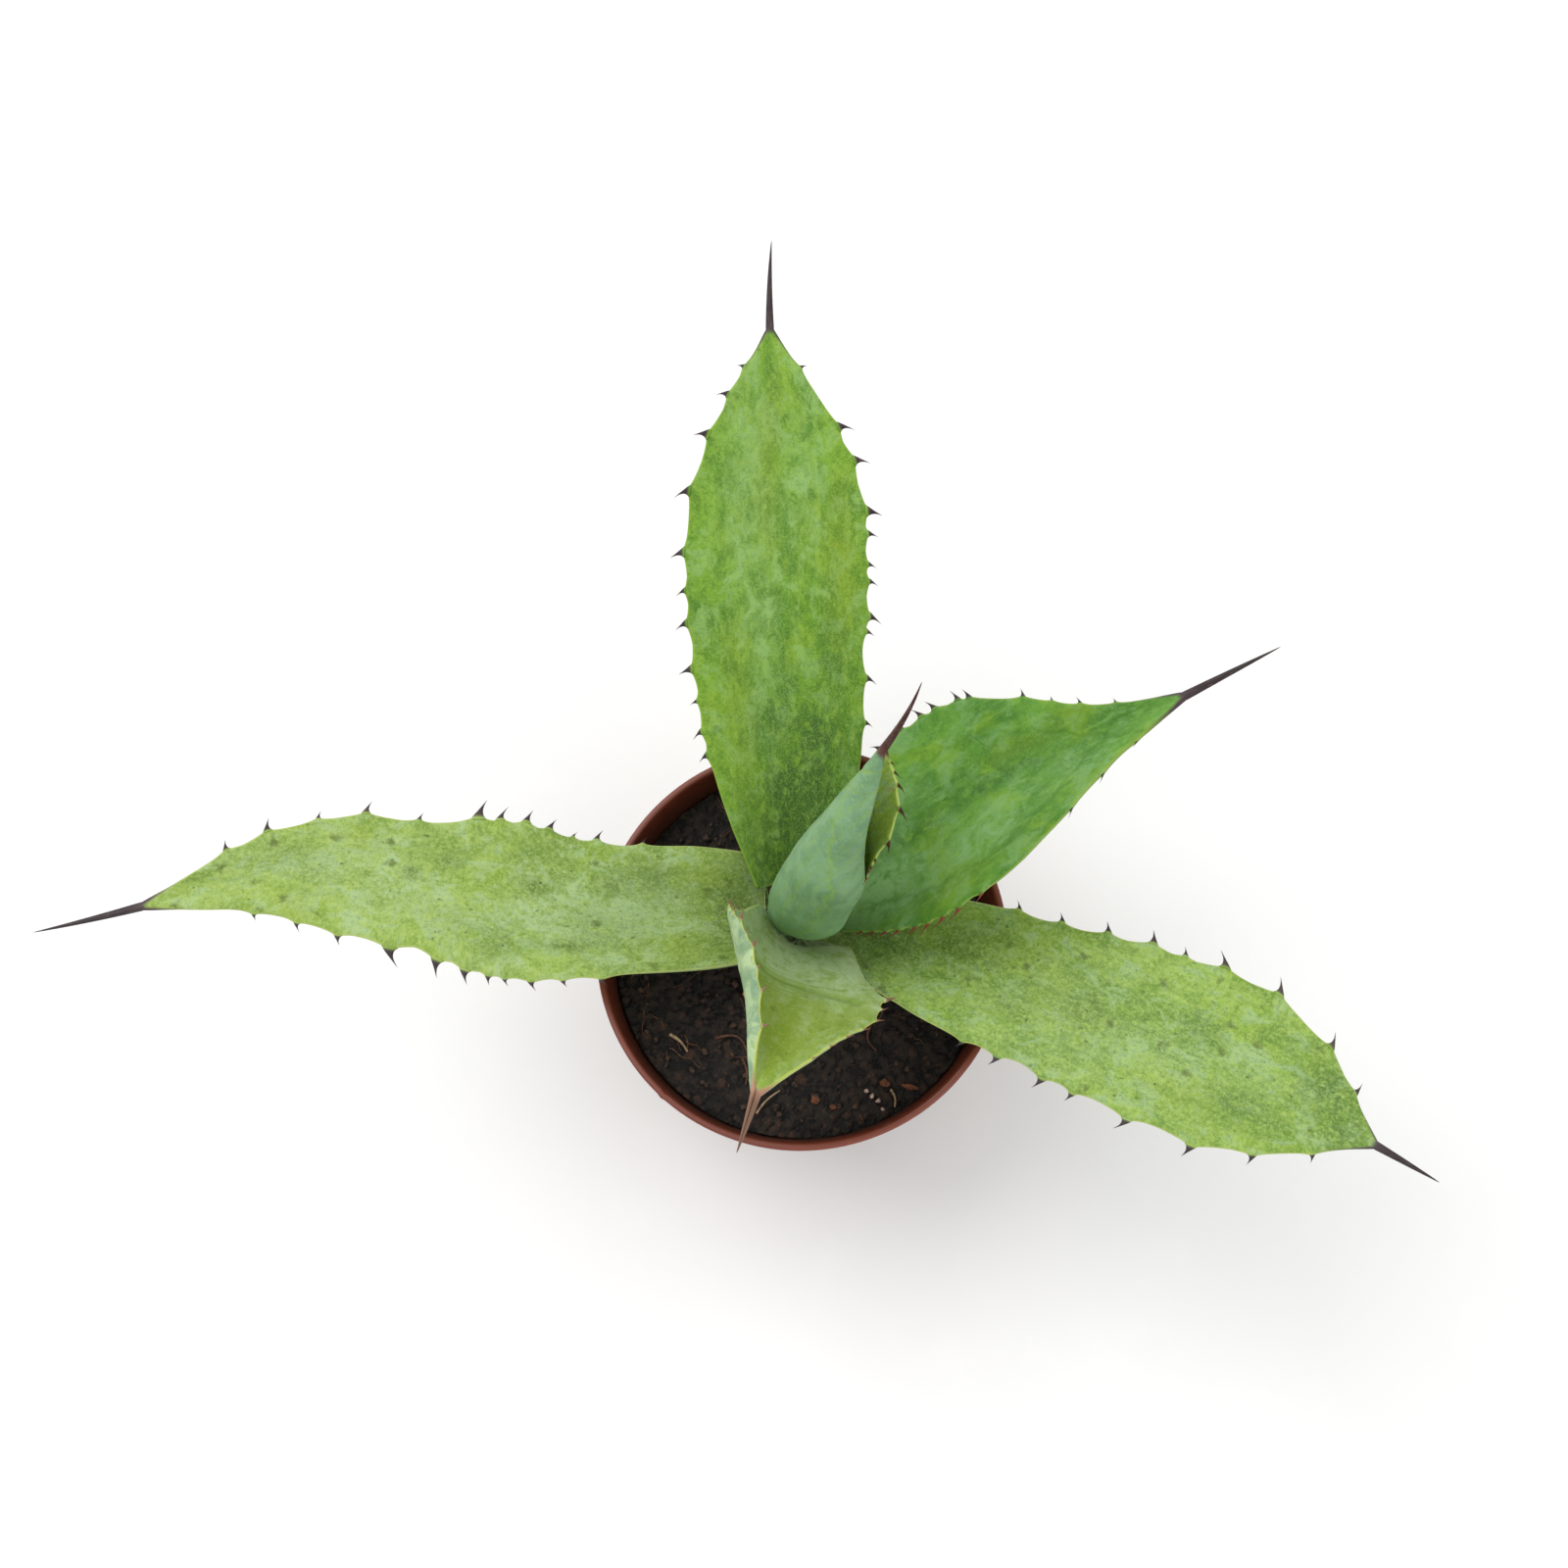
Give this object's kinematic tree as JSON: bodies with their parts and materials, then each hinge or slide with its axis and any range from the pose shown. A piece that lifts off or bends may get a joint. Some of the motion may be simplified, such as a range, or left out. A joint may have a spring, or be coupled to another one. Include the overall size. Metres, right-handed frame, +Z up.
{
  "type": "potted agave",
  "caption": "Young agave with broad toothed, spine-tipped leaves round a rolled centre spear, growing in a round tapered plastic nursery pot filled with dark soil.",
  "frame": {"origin": "centre of the flat underside of the pot", "axes": "+Z straight up along the pot's axis; +Y towards the leaf that points away from the viewer; +X to the viewer's right"},
  "size_m": [0.4305, 0.2902, 0.252],
  "materials": {
    "pot_plastic": "satin moulded plastic",
    "peat_soil": "matt, crumbly",
    "plant_stem": "matt husk",
    "leaf_left_skin": "waxy living leaf",
    "leaf_low_right_skin": "waxy living leaf",
    "leaf_top_skin": "waxy living leaf",
    "leaf_front_skin": "waxy living leaf",
    "leaf_upper_right_skin": "waxy living leaf",
    "spear_leaf_skin": "waxy living leaf",
    "inner_spear_skin": "waxy living leaf",
    "dried_husk": "matt, papery",
    "bark": "matt",
    "grain": "matt",
    "straw": "matt",
    "root_fibre": "matt"
  },
  "bodies": {
    "root": {"pot": "pot_plastic", "soil": "peat_soil", "stem": "plant_stem", "leaf_left": "leaf_left_skin", "leaf_low_right": "leaf_low_right_skin", "leaf_top": "leaf_top_skin", "leaf_front": "leaf_front_skin", "leaf_upper_right": "leaf_upper_right_skin", "spear_leaf": "spear_leaf_skin", "inner_spear": "inner_spear_skin", "dried_leaf_base_1": "dried_husk", "dried_leaf_base_2": "dried_husk", "dried_leaf_base_3": "dried_husk", "bark_chip_1": "bark", "bark_chip_2": "bark", "bark_chip_3": "bark", "bark_chip_4": "bark", "grain_1": "grain", "grain_2": "grain", "grain_3": "grain", "grain_4": "grain", "straw_1": "straw", "straw_2": "straw", "straw_3": "straw", "root_fibre_1": "root_fibre", "root_fibre_2": "root_fibre", "root_fibre_3": "root_fibre"}
  },
  "joints": []
}
